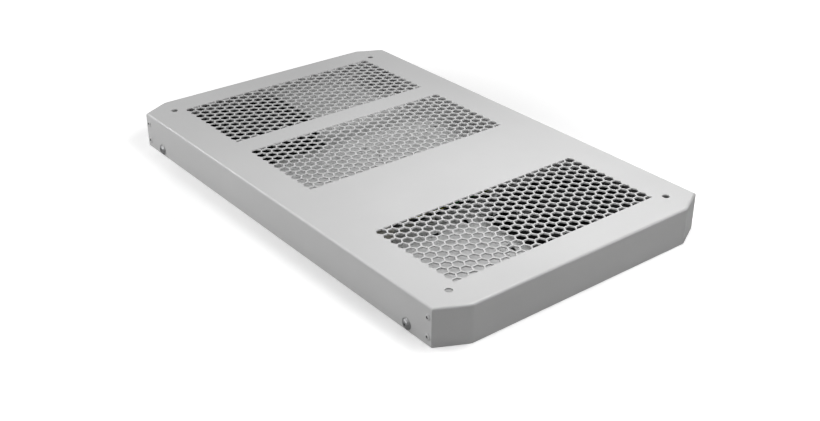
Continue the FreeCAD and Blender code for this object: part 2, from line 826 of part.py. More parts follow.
def main():
    os.makedirs("parts", exist_ok=True)
    quarters = [(side, end) for side in (-1, 1) for end in (-1, 1)]
    write("hood", [make_hood()])
    write("base_tray", [make_base()])
    rivets = [make_rivet(*q, z) for q in quarters for z in (rivet_lower_z, rivet_upper_z)]
    write("corner_rivets", rivets)
    write("side_screws", [make_side_screw(*q) for q in quarters])
    write("side_nuts", [make_side_nut(*q) for q in quarters])
    fans = (rear_fan, front_fan)
    stud_places = [p for fan in fans for p in corners_of(fan_hole_spacing, fan_hole_spacing, fan)]
    stud_top = fan_top + nut_height + stud_tip
    write("fan_studs", [make_stud(p, stud_radius, stud_top) for p in stud_places])
    write("fan_nuts", [make_nut(p, stud_radius, nut_flats, fan_top, nut_height) for p in stud_places])
    pieces = {
        "frame": [make_fan_frame()],
        "impeller": [make_impeller()],
        "rotor": [make_rotor()],
        "shaft": [make_shaft()],
        "stator": [make_stator()],
        "bearings": make_bearings(),
        "guard": [make_guard()],
        "plug": [make_plug()],
    }
    for name, (fan, degrees) in fitted_fans.items():
        for piece, shapes in pieces.items():
            write(name + "_fan_" + piece, [placed(s, fan, degrees) for s in shapes])
    write("terminal_block", [make_block()])
    write("clamp_screws", make_clamp_screws())
    write("block_screws", make_block_screws())
    write("supply_grommet", [make_grommet()])
    place = (earth_x, earth_y)
    write("earth_stud", [make_stud(place, earth_stud_radius, earth_stud_length)])
    write("earth_lug", [make_lug()])
    write("earth_washers", make_washers())
    nut_z = lug_z + lug_sheet + washer_height
    write("earth_nut", [make_nut(place, earth_stud_radius, earth_nut_flats, nut_z, earth_nut_height)])
    write("rear_fan_lead", [make_lead("rear_fan_lead", rear_lead_points(), lead_radius)])
    write("front_fan_lead", [make_lead("front_fan_lead", front_lead_points(), lead_radius)])
    write("earth_lead", [make_lead("earth_lead", earth_lead_points(), earth_lead_radius)])
    write("cable_ties", [make_tie(*b) for ties in tied_bridges.values() for b in ties])


main()
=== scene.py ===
import math

import bmesh
import bpy
from mathutils import Matrix, Vector


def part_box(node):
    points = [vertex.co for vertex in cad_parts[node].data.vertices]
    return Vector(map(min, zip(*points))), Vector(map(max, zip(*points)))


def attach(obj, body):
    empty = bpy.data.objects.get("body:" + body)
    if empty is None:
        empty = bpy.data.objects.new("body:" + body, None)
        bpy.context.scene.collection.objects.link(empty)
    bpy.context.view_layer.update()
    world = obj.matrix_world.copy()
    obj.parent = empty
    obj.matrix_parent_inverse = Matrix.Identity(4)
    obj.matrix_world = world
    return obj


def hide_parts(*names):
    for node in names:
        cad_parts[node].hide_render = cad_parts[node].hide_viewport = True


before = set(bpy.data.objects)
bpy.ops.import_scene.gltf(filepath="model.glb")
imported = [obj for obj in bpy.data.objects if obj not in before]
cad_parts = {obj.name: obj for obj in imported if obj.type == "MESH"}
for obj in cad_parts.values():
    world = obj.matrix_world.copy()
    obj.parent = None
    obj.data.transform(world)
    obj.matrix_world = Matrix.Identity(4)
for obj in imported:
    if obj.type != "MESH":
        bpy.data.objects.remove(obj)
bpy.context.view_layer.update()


# Base tray: one sheet of 1.5 mm steel, laser-cut with the air openings, fixing holes and slots, with its four
# sides folded up and the strips for the cable ties pressed up between their slots. Powder-coated light grey.
# Places without a fan keep their round knock-out, held by four small joints.
base_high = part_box("base_tray")[1]
base_sheet = 0.0015
base_fold = 0.0025
plate_x = base_high.x - base_fold
plate_y = base_high.y - base_fold
side_span = 0.242
end_span = 0.1355
flange_top = base_high.z
corner_cut_x = 0.0315
corner_cut_y = 0.016
hood_low, hood_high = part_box("hood")
corner_y = hood_high.y - corner_cut_y
plate_inset = hood_high.x - plate_x
row_step = 0.143
rotor_boxes = {fan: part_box(fan + "_fan_rotor") for fan in ("rear", "front")}
fan_centres = {fan: tuple((low + high).xy / 2) for fan, (low, high) in rotor_boxes.items()}
rear_x, rear_y = fan_centres["rear"]
front_x, front_y = fan_centres["front"]
open_centres = [(-rear_x, rear_y), (rear_x, rear_y - row_step), (-rear_x, rear_y - row_step), (-front_x, front_y)]
fan_hole_spacing = 0.1048
air_radius = 0.0575
slot_width = 0.0008
joint_width = 0.004
stud_hole = 0.00325
open_hole = 0.00225
fixing_hole = 0.0035
fixing_x = 0.1405
fixing_y = 0.2455
grommet_place = (-0.120, -0.030)
grommet_hole = 0.006
earth_place = (0.076, -0.076)
earth_hole = 0.00375
block_screw_places = [(-0.092, -0.090), (-0.092, -0.058)]
block_screw_hole = 0.0016
bridges = [
    (0.0, -0.108, 0), (0.0, -0.178, 0), (-0.046, -0.110, 90),
    (-0.1565, 0.066, 0), (-0.1565, -0.014, 0), (-0.028, -0.0855, 90),
]
bridge_strip = 0.005
bridge_slot = 0.002
bridge_half = 0.0065
bridge_ramp = 0.003
bridge_lift = 0.003
coat_edge = 0.00022
opening_sides = 128
knock_out_sides = 144
hole_sides = 32
fan_hole_sides = 24
screw_hole_sides = 16
same_place = 1e-6
near = 1e-5
quarters = [(side, end) for side in (-1, 1) for end in (-1, 1)]


def use(piece):
    bpy.ops.object.select_all(action="DESELECT")
    piece.select_set(True)
    bpy.context.view_layer.objects.active = piece


def open_for_edit(piece):
    use(piece)
    bpy.ops.object.mode_set(mode="EDIT")
    bpy.ops.mesh.select_mode(type="EDGE")


def close_edit():
    bpy.ops.object.mode_set(mode="OBJECT")


def select_whole():
    bpy.ops.mesh.select_all(action="SELECT")


def merge_touching():
    select_whole()
    bpy.ops.mesh.remove_doubles(threshold=same_place)


def face_outwards():
    select_whole()
    bpy.ops.mesh.normals_make_consistent(inside=False)


def split_along(point, across):
    select_whole()
    bpy.ops.mesh.bisect(plane_co=point, plane_no=across)


def extrude_by(step):
    bpy.ops.mesh.extrude_region_move(TRANSFORM_OT_translate={"value": step})


def pick(piece, kind, test):
    bpy.ops.mesh.select_mode(type=kind)
    bpy.ops.mesh.select_all(action="DESELECT")
    mesh = bmesh.from_edit_mesh(piece.data)
    for part in {"VERT": mesh.verts, "EDGE": mesh.edges, "FACE": mesh.faces}[kind]:
        if test(part):
            part.select_set(True)
    mesh.select_flush_mode()
    bmesh.update_edit_mesh(piece.data)


def middle(part):
    return sum((v.co for v in part.verts), Vector()) / len(part.verts)


def faces_down(face):
    return face.normal.z < -0.9


def is_open_edge(edge):
    return edge.is_boundary or edge.is_wire


def take_new(name):
    piece = bpy.context.active_object
    piece.name = name
    piece.data.name = name
    bpy.ops.object.transform_apply(location=True, rotation=True, scale=True)
    return piece


def new_block(name, low, high):
    bpy.ops.object.select_all(action="DESELECT")
    size = [b - a for a, b in zip(low, high)]
    place = [(a + b) / 2 for a, b in zip(low, high)]
    bpy.ops.mesh.primitive_cube_add(size=1, location=place, scale=size)
    return take_new(name)


def new_ring(name, place, radius, sides, filled=False, turn=0.0):
    bpy.ops.object.select_all(action="DESELECT")
    fill = "NGON" if filled else "NOTHING"
    bpy.ops.mesh.primitive_circle_add(
        vertices=sides, radius=radius, fill_type=fill, location=place, rotation=(0, 0, turn)
    )
    return take_new(name)


def join_into(piece, others):
    bpy.ops.object.select_all(action="DESELECT")
    for other in others:
        other.select_set(True)
    piece.select_set(True)
    bpy.context.view_layer.objects.active = piece
    if others:
        bpy.ops.object.join()


def cut_off(piece, point, outward):
    open_for_edit(piece)
    select_whole()
    bpy.ops.mesh.bisect(plane_co=point, plane_no=outward, use_fill=True, clear_outer=True)
    close_edit()


def modify(piece, kind, **settings):
    use(piece)
    modifier = piece.modifiers.new(kind.lower(), kind)
    for name, value in settings.items():
        setattr(modifier, name, value)
    bpy.ops.object.modifier_apply(modifier=modifier.name)


def smooth(piece, degrees):
    use(piece)
    bpy.ops.object.shade_smooth_by_angle(angle=math.radians(degrees))


def holes_round(centre, radius):
    half = fan_hole_spacing / 2
    places = [(centre[0] + side * half, centre[1] + end * half, 0) for side, end in quarters]
    return [new_ring("hole", place, radius, fan_hole_sides) for place in places]


def knock_out(centre):
    ring = new_ring("knock_out", (*centre, 0), air_radius - slot_width, knock_out_sides)
    open_for_edit(ring)
    select_whole()
    grow = air_radius / (air_radius - slot_width)
    bpy.ops.mesh.extrude_region_move()
    bpy.ops.transform.resize(value=(grow, grow, 1), center_override=(*centre, 0))
    joint_reach = joint_width / math.sqrt(2)

    def on_joint(face):
        from_centre = middle(face) - Vector((*centre, 0))
        return abs(abs(from_centre.x) - abs(from_centre.y)) < joint_reach

    pick(ring, "FACE", on_joint)
    bpy.ops.mesh.delete(type="FACE")
    close_edit()
    return ring


def tie_blank(x, y, degrees):
    half = bridge_strip / 2 + bridge_slot
    blank = new_block("tie_blank", (-half, -bridge_half, 0), (half, bridge_half, base_sheet))
    open_for_edit(blank)
    pick(blank, "FACE", lambda f: not faces_down(f))
    bpy.ops.mesh.delete(type="FACE")
    for side in (-1, 1):
        split_along((side * bridge_strip / 2, 0, 0), (1, 0, 0))
        split_along((0, side * (bridge_half - bridge_ramp), 0), (0, 1, 0))
    close_edit()
    blank.rotation_euler = (0, 0, math.radians(degrees))
    blank.location = (x, y, 0)
    use(blank)
    return take_new("tie_blank")


def on_strip(point):
    for x, y, degrees in bridges:
        across, along = (point.x - x, point.y - y) if degrees == 0 else (point.y - y, point.x - x)
        if abs(across) < bridge_strip / 2 + near and abs(along) < bridge_half + near:
            return along
    return None


def crosses_plate(edge):
    place = middle(edge)
    run = edge.verts[0].co - edge.verts[1].co
    inside = abs(place.x) < plate_x - near and abs(place.y) < plate_y - near
    return inside and min(abs(run.x), abs(run.y)) < same_place


def on_side(edge, axis, reach, span):
    place = middle(edge)
    return abs(place[axis] - reach) < same_place and abs(place[1 - axis]) < span


def on_fold_line(edge):
    return len(edge.link_faces) == 2 and abs(middle(edge).z) < same_place


def is_punched_out(face):
    return len(face.verts) > 3 and abs(face.normal.z) > 0.99 and on_strip(middle(face)) is None


def is_lifted(vertex):
    along = on_strip(vertex.co)
    return along is not None and abs(along) < bridge_half - bridge_ramp + near


def new_material(name):
    material = bpy.data.materials.new(name)
    material.use_nodes = True
    nodes = material.node_tree.nodes
    links = material.node_tree.links
    return material, nodes, links, nodes["Principled BSDF"]


def worked_out(nodes, links, operation, *values, kind="ShaderNodeMath", output="Value"):
    node = nodes.new(kind)
    node.operation = operation
    for socket, value in zip(node.inputs, values):
        if isinstance(value, bpy.types.NodeSocket):
            links.new(value, socket)
        else:
            socket.default_value = value
    return node.outputs[output]


def noise(nodes, links, scale, detail):
    place = nodes.new("ShaderNodeTexCoord")
    texture = nodes.new("ShaderNodeTexNoise")
    texture.inputs["Scale"].default_value = scale
    texture.inputs["Detail"].default_value = detail
    links.new(place.outputs["Object"], texture.inputs["Vector"])
    return texture.outputs["Fac"]


def shades(nodes, links, source, low, high, dark, light):
    ramp = nodes.new("ShaderNodeValToRGB")
    ramp.color_ramp.elements[0].position = low
    ramp.color_ramp.elements[0].color = (*dark, 1)
    ramp.color_ramp.elements[1].position = high
    ramp.color_ramp.elements[1].color = (*light, 1)
    links.new(source, ramp.inputs["Fac"])
    return ramp.outputs["Color"]


def bumps(nodes, links, shader, source, strength, distance):
    bump = nodes.new("ShaderNodeBump")
    bump.inputs["Strength"].default_value = strength
    bump.inputs["Distance"].default_value = distance
    links.new(source, bump.inputs["Height"])
    links.new(bump.outputs["Normal"], shader.inputs["Normal"])


# Powder coat: an even pigment with a faint cloud and speck in it, and the fine peel of melted powder
def powder_coat(name, grey):
    material, nodes, links, shader = new_material(name)
    shader.inputs["Roughness"].default_value = 0.25
    shader.inputs["IOR"].default_value = 1.5
    speck = noise(nodes, links, 1400.0, 2.0)
    speck_share = 0.35
    cloud = noise(nodes, links, 9.0, 4.0)
    both = worked_out(nodes, links, "MULTIPLY_ADD", speck, speck_share, cloud)
    colour = shades(nodes, links, both, 0.4, 0.95, [grey * 0.96] * 3, [grey * 1.03] * 3)
    links.new(colour, shader.inputs["Base Color"])
    bumps(nodes, links, shader, noise(nodes, links, 650.0, 3.0), 0.12, 0.0003)
    return material


def assemble(piece, material, slot, body, *nodes):
    piece.data.materials.clear()
    piece.data.materials.append(material)
    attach(piece, body)
    if nodes:
        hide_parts(*nodes)


base = new_block("base_sheet", (-plate_x, -plate_y, 0), (plate_x, plate_y, base_sheet))
cut_length = math.hypot(corner_cut_x, corner_cut_y)
for side, end in quarters:
    outward = Vector((side * corner_cut_y, end * corner_cut_x, 0))
    corner = Vector((side * hood_high.x, end * corner_y, 0)) - outward / cut_length * plate_inset
    cut_off(base, corner, outward)
open_for_edit(base)
pick(base, "FACE", lambda f: not faces_down(f))
bpy.ops.mesh.delete(type="FACE")
for side in (-1, 1):
    split_along((0, side * side_span, 0), (0, 1, 0))
    split_along((side * end_span, 0, 0), (1, 0, 0))
select_whole()
bpy.ops.mesh.delete(type="ONLY_FACE")
pick(base, "EDGE", crosses_plate)
bpy.ops.mesh.delete(type="EDGE")
for axis, reach, span in ((0, plate_x, side_span), (1, plate_y, end_span)):
    for way in (-1, 1):
        pick(base, "EDGE", lambda e: on_side(e, axis, way * reach, span))
        step = [0, 0, 0]
        step[axis] = way * base_fold
        extrude_by(step)
        extrude_by((0, 0, flange_top))
pick(base, "EDGE", on_fold_line)
bpy.ops.mesh.bevel(offset=base_fold, offset_type="OFFSET", segments=4, affect="EDGES")
close_edit()
fixing_places = [(side * fixing_x, end * fixing_y) for side, end in quarters]
blanks = [new_ring("hole", (*place, 0), fixing_hole, hole_sides) for place in fixing_places]
for centre in fan_centres.values():
    blanks.append(new_ring("air_opening", (*centre, 0), air_radius, opening_sides))
    blanks += holes_round(centre, stud_hole)
for centre in open_centres:
    blanks.append(knock_out(centre))
    blanks += holes_round(centre, open_hole)
blanks.append(new_ring("hole", (*grommet_place, 0), grommet_hole, hole_sides))
blanks.append(new_ring("hole", (*earth_place, 0), earth_hole, hole_sides))
blanks += [new_ring("hole", (*place, 0), block_screw_hole, screw_hole_sides) for place in block_screw_places]
blanks += [tie_blank(*bridge) for bridge in bridges]
join_into(base, blanks)
open_for_edit(base)
merge_touching()
pick(base, "EDGE", lambda e: is_open_edge(e) and abs(middle(e).z) < same_place)
bpy.ops.mesh.fill(use_beauty=True)
pick(base, "FACE", is_punched_out)
bpy.ops.mesh.delete(type="FACE")
pick(base, "VERT", is_lifted)
bpy.ops.transform.translate(value=(0, 0, bridge_lift))
face_outwards()
close_edit()
modify(base, "SOLIDIFY", thickness=base_sheet, offset=-1, use_even_offset=True)
modify(base, "BEVEL", width=coat_edge, segments=1, limit_method="ANGLE", angle_limit=math.radians(60))
smooth(base, 35)
modify(base, "WEIGHTED_NORMAL", mode="FACE_AREA", keep_sharp=True)
grey_coat = powder_coat("light_grey_powder_coat", 0.68)
assemble(base, grey_coat, "base", "tray", "base_tray")


# Press-in studs: turned and rolled zinc-plated steel, pressed up through the base, so that their flat heads are
# flush underneath. Four stand round each fan, and the thicker one takes the earth lug.
stud_head_height = 0.0008
stud_head_edge = 0.0002
stud_lead_in = 0.0006
stud_tip_share = 0.72
thread_pitch = 0.0007
thread_root_share = 0.88


def turned_part(name, profile, sides):
    radius, level = profile[0]
    piece = new_ring(name, (0, 0, level), radius, sides)
    open_for_edit(piece)
    select_whole()
    for wider, higher in profile[1:]:
        extrude_by((0, 0, higher - level))
        ratio = wider / radius
        bpy.ops.transform.resize(value=(ratio, ratio, 1), center_override=(0, 0, higher))
        radius, level = wider, higher
    merge_touching()
    bpy.ops.mesh.fill_holes(sides=0)
    face_outwards()
    close_edit()
    return piece


def copies_turned(piece, name, turned_places):
    twins = []
    for place, turn in turned_places:
        use(piece)
        bpy.ops.object.duplicate()
        twin = bpy.context.active_object
        twin.location = place
        twin.rotation_euler = turn
        twins.append(take_new(name))
    bpy.data.objects.remove(piece)
    join_into(twins[0], twins[1:])
    twins[0].name = name
    return twins[0]


def copies_at(piece, name, places):
    return copies_turned(piece, name, [(place, (0, 0, 0)) for place in places])


def thread(radius, start, end):
    turns = round((end - start) / thread_pitch)
    steps = [start + thread_pitch * (k + 0.5) for k in range(turns)]
    flanks = [((radius * thread_root_share, z), (radius, z + thread_pitch / 2)) for z in steps]
    return [(radius, start)] + [point for flank in flanks for point in flank]


def stud_profile(head, radius, plain, top):
    inner = head - stud_head_edge
    head_points = [
        (inner, 0), (head, stud_head_edge), (head, stud_head_height - stud_head_edge), (inner, stud_head_height),
    ]
    turns = thread(radius, plain, top - stud_lead_in)
    return head_points + [(radius, stud_head_height)] + turns + [(radius * stud_tip_share, top)]


def metal(name, dark, light, roughness, scale=60.0):
    material, nodes, links, shader = new_material(name)
    shader.inputs["Metallic"].default_value = 1.0
    cloud = noise(nodes, links, scale, 5.0)
    links.new(shades(nodes, links, cloud, 0.3, 0.75, dark, light), shader.inputs["Base Color"])
    worn = shades(nodes, links, cloud, 0.25, 0.8, [roughness + 0.1] * 3, [roughness - 0.05] * 3)
    links.new(worn, shader.inputs["Roughness"])
    bumps(nodes, links, shader, noise(nodes, links, scale * 20, 3.0), 0.08, 0.0001)
    return material


zinc = metal("zinc_plate", (0.42, 0.43, 0.44), (0.56, 0.57, 0.57), roughness=0.42)
stud_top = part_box("fan_studs")[1].z
fan_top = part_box("rear_fan_frame")[1].z
stud_places = [
    (centre[0] + side * fan_hole_spacing / 2, centre[1] + end * fan_hole_spacing / 2, 0)
    for centre in fan_centres.values() for side, end in quarters
]
stud_sides = 24
fan_stud_profile = stud_profile(head=0.0032, radius=0.002, plain=fan_top - 0.002, top=stud_top)
studs = copies_at(turned_part("fan_stud", fan_stud_profile, stud_sides), "fan_stud_set", stud_places)
smooth(studs, 35)
assemble(studs, zinc, "zinc_steel", "tray", "fan_studs")
earth_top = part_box("earth_stud")[1].z
earth_stud_profile = stud_profile(head=0.0037, radius=0.0025, plain=0.0026, top=earth_top)
earth_stud = turned_part("earth_stud_m5", earth_stud_profile, stud_sides)
earth_stud = copies_at(earth_stud, "earth_stud_m5", [(*earth_place, 0)])
smooth(earth_stud, 35)
assemble(earth_stud, zinc, "zinc_steel", "tray", "earth_stud")


# Finger guards: rings of bright-plated wire, spot-welded under four pairs of straight wires that end in eyes.
# The eyes lie between the base and the fan's corners, and the studs pass through them.
wire_radius = 0.0006
wire_sides = 10
ring_level = base_sheet - wire_radius
spoke_level = base_sheet + wire_radius
guard_inner = 0.016
guard_outer = 0.054
guard_ring_count = 4
eye_radius = 0.004
spoke_start = guard_inner - 0.0012
spoke_offset = wire_radius + 0.00003


def wire_ring(name, place, radius, steps):
    wire = new_ring(name, (0, 0, 0), wire_radius, wire_sides)
    wire.rotation_euler = (math.radians(90), 0, 0)
    wire.location = (place[0] + radius, place[1], place[2])
    use(wire)
    take_new(name)
    open_for_edit(wire)
    select_whole()
    bpy.ops.mesh.spin(steps=steps, angle=math.radians(360), center=place, axis=(0, 0, 1))
    merge_touching()
    face_outwards()
    close_edit()
    return wire


def straight_wire(name, start, end, offset, level):
    wire = new_ring(name, (0, 0, 0), wire_radius, wire_sides, filled=True)
    wire.rotation_euler = (0, math.radians(90), 0)
    wire.location = (start, offset, level)
    use(wire)
    take_new(name)
    open_for_edit(wire)
    select_whole()
    extrude_by((end - start, 0, 0))
    face_outwards()
    close_edit()
    return wire


def finger_guard(name, centre):
    step = (guard_outer - guard_inner) / (guard_ring_count - 1)
    wires = []
    for k in range(guard_ring_count):
        wires.append(wire_ring("guard_ring", (0, 0, ring_level), guard_inner + k * step, 96))
    eye_reach = fan_hole_spacing / math.sqrt(2)
    for quarter in range(4):
        spoke_parts = [wire_ring("guard_eye", (eye_reach, 0, spoke_level), eye_radius, 28)]
        end = eye_reach - eye_radius
        for side in (-1, 1):
            spoke_parts.append(straight_wire("guard_spoke", spoke_start, end, side * spoke_offset, spoke_level))
        for part in spoke_parts:
            part.rotation_euler = (0, 0, math.radians(45 + 90 * quarter))
            use(part)
            wires.append(take_new(part.name))
    join_into(wires[0], wires[1:])
    wires[0].location = (centre[0], centre[1], 0)
    use(wires[0])
    guard = take_new(name)
    smooth(guard, 50)
    return guard


bright_wire = metal("nickel_plated_wire", (0.60, 0.60, 0.59), (0.72, 0.72, 0.71), roughness=0.26, scale=90.0)
for fan, centre in fan_centres.items():
    guard = finger_guard(fan + "_finger_guard", centre)
    assemble(guard, bright_wire, "guard_wire", "tray", fan + "_fan_guard")


# Fan frames: die-cast aluminium, two square flanges on a round duct with four struts that carry the motor seat.
# The castings are blasted and painted matt black.
def softened_copy(node, name, edge):
    piece = bpy.data.objects.new(name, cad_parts[node].data.copy())
    bpy.context.collection.objects.link(piece)
    open_for_edit(piece)
    select_whole()
    bpy.ops.mesh.remove_doubles(threshold=2e-6)
    select_whole()
    bpy.ops.mesh.dissolve_limited(angle_limit=math.radians(1))
    close_edit()
    modify(piece, "BEVEL", width=edge, segments=2, limit_method="ANGLE", angle_limit=math.radians(50))
    smooth(piece, 40)
    modify(piece, "WEIGHTED_NORMAL", mode="FACE_AREA", keep_sharp=True)
    return piece


def moulded(name, dark, light, roughness, specular, grain, grain_size):
    material, nodes, links, shader = new_material(name)
    shader.inputs["Specular IOR Level"].default_value = specular
    cloud = noise(nodes, links, 35.0, 4.0)
    links.new(shades(nodes, links, cloud, 0.3, 0.75, dark, light), shader.inputs["Base Color"])
    shine = shades(nodes, links, cloud, 0.3, 0.8, [roughness + 0.06] * 3, [roughness - 0.04] * 3)
    links.new(shine, shader.inputs["Roughness"])
    bumps(nodes, links, shader, noise(nodes, links, grain_size, 3.0), grain, 0.0002)
    return material


cast_black = moulded("matt_black_casting", (0.004, 0.004, 0.0045), (0.008, 0.008, 0.0085),
                     roughness=0.6, specular=0.12, grain=0.25, grain_size=1800.0)
for fan in fan_centres:
    casting = softened_copy(fan + "_fan_frame", fan + "_fan_casting", 0.0004)
    assemble(casting, cast_black, "fan_frame", "tray", fan + "_fan_frame")


# Impellers: seven blades and the hub cup in one moulding of black glass-filled polyester, on the motor's rotor.
# Inside lie the magnet ring, the ground shaft in two ball bearings, and the laminated stator on its tube.
fan_black = moulded("black_glass_filled_polyester", (0.005, 0.005, 0.0055), (0.009, 0.009, 0.0095),
                    roughness=0.5, specular=0.15, grain=0.12, grain_size=900.0)
magnet = moulded("bonded_magnet", (0.05, 0.05, 0.055), (0.09, 0.09, 0.095),
                 roughness=0.5, specular=0.4, grain=0.3, grain_size=1500.0)
ground_steel = metal("ground_steel", (0.58, 0.58, 0.59), (0.66, 0.66, 0.67), roughness=0.22, scale=120.0)


def dress(node, material):
    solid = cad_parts[node]
    solid.data.materials.clear()
    solid.data.materials.append(material)


def stacked_sheets():
    material, nodes, links, shader = new_material("stacked_laminations")
    shader.inputs["Metallic"].default_value = 0.8
    shader.inputs["Roughness"].default_value = 0.45
    place = nodes.new("ShaderNodeTexCoord")
    layers = nodes.new("ShaderNodeTexWave")
    layers.bands_direction = "Z"
    layers.inputs["Scale"].default_value = 320.0
    links.new(place.outputs["Object"], layers.inputs["Vector"])
    colour = shades(nodes, links, layers.outputs["Fac"], 0.2, 0.6, (0.10, 0.09, 0.08), (0.34, 0.32, 0.29))
    links.new(colour, shader.inputs["Base Color"])
    bumps(nodes, links, shader, layers.outputs["Fac"], 0.3, 0.0001)
    return material


laminations = stacked_sheets()
for fan in fan_centres:
    impeller = softened_copy(fan + "_fan_impeller", fan + "_impeller_moulding", 0.00025)
    assemble(impeller, fan_black, "impeller", fan + "_rotor", fan + "_fan_impeller")
    dress(fan + "_fan_rotor", magnet)
    dress(fan + "_fan_shaft", ground_steel)
    dress(fan + "_fan_bearings", ground_steel)
    dress(fan + "_fan_stator", laminations)


# Nuts: cold-formed hexagons in zinc-plated steel, with their corners turned off at both ends and a countersunk
# thread. Eight hold the fans down, and a wider one holds the earth lug.
chamfer_slope = 0.58
chamfer_overrun = 1.2
crown_sides = 48
tap_sides = 24


def hex_nut(name, flats, height, bore):
    corner_radius = flats / math.sqrt(3)
    body = new_ring(name, (0, 0, 0), corner_radius, 6, filled=True)
    open_for_edit(body)
    select_whole()
    extrude_by((0, 0, height))
    face_outwards()
    close_edit()
    rim = flats * 0.47
    chamfer = (corner_radius - rim) * chamfer_slope * chamfer_overrun
    wide = rim + chamfer / chamfer_slope
    crown_profile = [(rim, -near), (wide, chamfer), (wide, height - chamfer), (rim, height + near)]
    crown = turned_part("crown", crown_profile, crown_sides)
    crown.rotation_euler = (0, 0, math.pi / crown_sides)
    mouth = bore * 1.28
    lead_in = bore * 0.14
    tap_profile = [(mouth, -lead_in), (bore, lead_in), (bore, height - lead_in), (mouth, height + lead_in)]
    tap = turned_part("tap", tap_profile, tap_sides)
    modify(body, "BOOLEAN", object=crown, operation="INTERSECT", solver="EXACT")
    modify(body, "BOOLEAN", object=tap, operation="DIFFERENCE", solver="EXACT")
    for tool in (crown, tap):
        bpy.data.objects.remove(tool)
    return body


nut = hex_nut("fan_nut", flats=0.007, height=0.0032, bore=0.00203)
fan_nut_set = copies_at(nut, "fan_nut_set", [(x, y, fan_top) for x, y, z in stud_places])
smooth(fan_nut_set, 25)
assemble(fan_nut_set, zinc, "zinc_steel", "tray", "fan_nuts")
earth_nut_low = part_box("earth_nut")[0].z
nut = hex_nut("earth_nut_m5", flats=0.008, height=0.004, bore=0.00253)
earth_nut = copies_at(nut, "earth_nut_m5", [(*earth_place, earth_nut_low)])
smooth(earth_nut, 25)
assemble(earth_nut, zinc, "zinc_steel", "tray", "earth_nut")


# Wiring: a polyamide terminal block screwed to the base, plugs on the fans' terminals, a rubber grommet for the
# supply lead, and the tinned ring lug between its washers on the earth stud.
block_white = moulded("off_white_polyamide", (0.60, 0.58, 0.52), (0.66, 0.64, 0.58),
                      roughness=0.42, specular=0.5, grain=0.08, grain_size=500.0)
plug_black = moulded("black_polyamide", (0.014, 0.014, 0.015), (0.022, 0.022, 0.023),
                     roughness=0.38, specular=0.45, grain=0.08, grain_size=700.0)
rubber = moulded("black_rubber", (0.012, 0.012, 0.012), (0.020, 0.020, 0.020),
                 roughness=0.7, specular=0.3, grain=0.3, grain_size=1200.0)
tin = metal("tinned_copper", (0.60, 0.59, 0.56), (0.70, 0.69, 0.66), roughness=0.32, scale=150.0)
wiring_pieces = [
    ("terminal_block", "terminal_block_moulding", 0.0005, block_white, "block"),
    ("rear_fan_plug", "rear_plug_moulding", 0.0004, plug_black, "plug"),
    ("front_fan_plug", "front_plug_moulding", 0.0004, plug_black, "plug"),
    ("supply_grommet", "grommet_moulding", 0.0005, rubber, "rubber"),
    ("earth_lug", "ring_lug", 0.00015, tin, "tinned"),
    ("earth_washers", "plain_washers", 0.00015, zinc, "zinc_steel"),
    ("clamp_screws", "clamp_screw_set", 0.0002, zinc, "zinc_steel"),
    ("block_screws", "block_screw_set", 0.0003, zinc, "zinc_steel"),
    ("side_nuts", "press_nut_set", 0.0002, zinc, "zinc_steel"),
]
for node, name, edge, material, slot in wiring_pieces:
    assemble(softened_copy(node, name, edge), material, slot, "tray", node)


# Leads: stranded wire in a round sheath, black from the fans to the terminal block and green and yellow to the
# earth stud. Nylon ties hold them to the bridges in the base. The routes are in millimetres.
def lead(name, points, radius):
    bpy.ops.object.select_all(action="DESELECT")
    line = bpy.data.curves.new(name, "CURVE")
    line.dimensions = "3D"
    line.bevel_depth = radius
    line.bevel_resolution = 5
    line.resolution_u = 10
    line.use_fill_caps = True
    spline = line.splines.new("NURBS")
    spline.points.add(len(points) - 1)
    for knot, point in zip(spline.points, points):
        knot.co = (*[p / 1000 for p in point], 1)
    spline.order_u = 3
    spline.use_endpoint_u = True
    piece = bpy.data.objects.new(name, line)
    bpy.context.collection.objects.link(piece)
    use(piece)
    bpy.ops.object.convert(target="MESH")
    piece = bpy.context.active_object
    open_for_edit(piece)
    merge_touching()
    face_outwards()
    close_edit()
    smooth(piece, 50)
    return piece


# Green sheath with its yellow stripe, which follows the lead by the sheath's own map
def striped_sheath():
    material, nodes, links, shader = new_material("green_yellow_sheath")
    shader.inputs["Roughness"].default_value = 0.4
    place = nodes.new("ShaderNodeUVMap")
    split = nodes.new("ShaderNodeSeparateXYZ")
    links.new(place.outputs["UV"], split.inputs["Vector"])
    half_round = 0.5
    across = worked_out(nodes, links, "PINGPONG", split.outputs["Y"], half_round)
    colour = shades(nodes, links, across, 0.34, 0.36, (0.02, 0.20, 0.04), (0.42, 0.40, 0.02))
    links.new(colour, shader.inputs["Base Color"])
    bumps(nodes, links, shader, noise(nodes, links, 700.0, 3.0), 0.1, 0.0002)
    return material


sheath_black = moulded("black_sheath", (0.012, 0.012, 0.013), (0.020, 0.020, 0.021),
                       roughness=0.45, specular=0.4, grain=0.1, grain_size=700.0)
rear_route = [
    (-138.5, 148.0, 14.7), (-150.0, 148.0, 14.7), (-159.5, 139.0, 12.5), (-160.5, 121.0, 9.0),
    (-158.5, 96.0, 7.2), (-156.5, 66.0, 6.6), (-157.4, 27.0, 5.6), (-156.5, -14.0, 6.6), (-152.5, -38.0, 7.0),
    (-141.0, -55.5, 7.8), (-125.0, -63.5, 8.6), (-110.5, -65.0, 9.0), (-96.0, -65.0, 9.0),
]
front_route = [
    (35.5, -114.5, 14.7), (35.5, -102.5, 14.7), (27.5, -92.0, 12.0), (12.0, -87.3, 9.0), (-6.0, -86.3, 7.3),
    (-28.0, -85.5, 6.6), (-50.0, -84.5, 7.4), (-70.0, -83.0, 9.0), (-88.0, -83.0, 9.0),
]
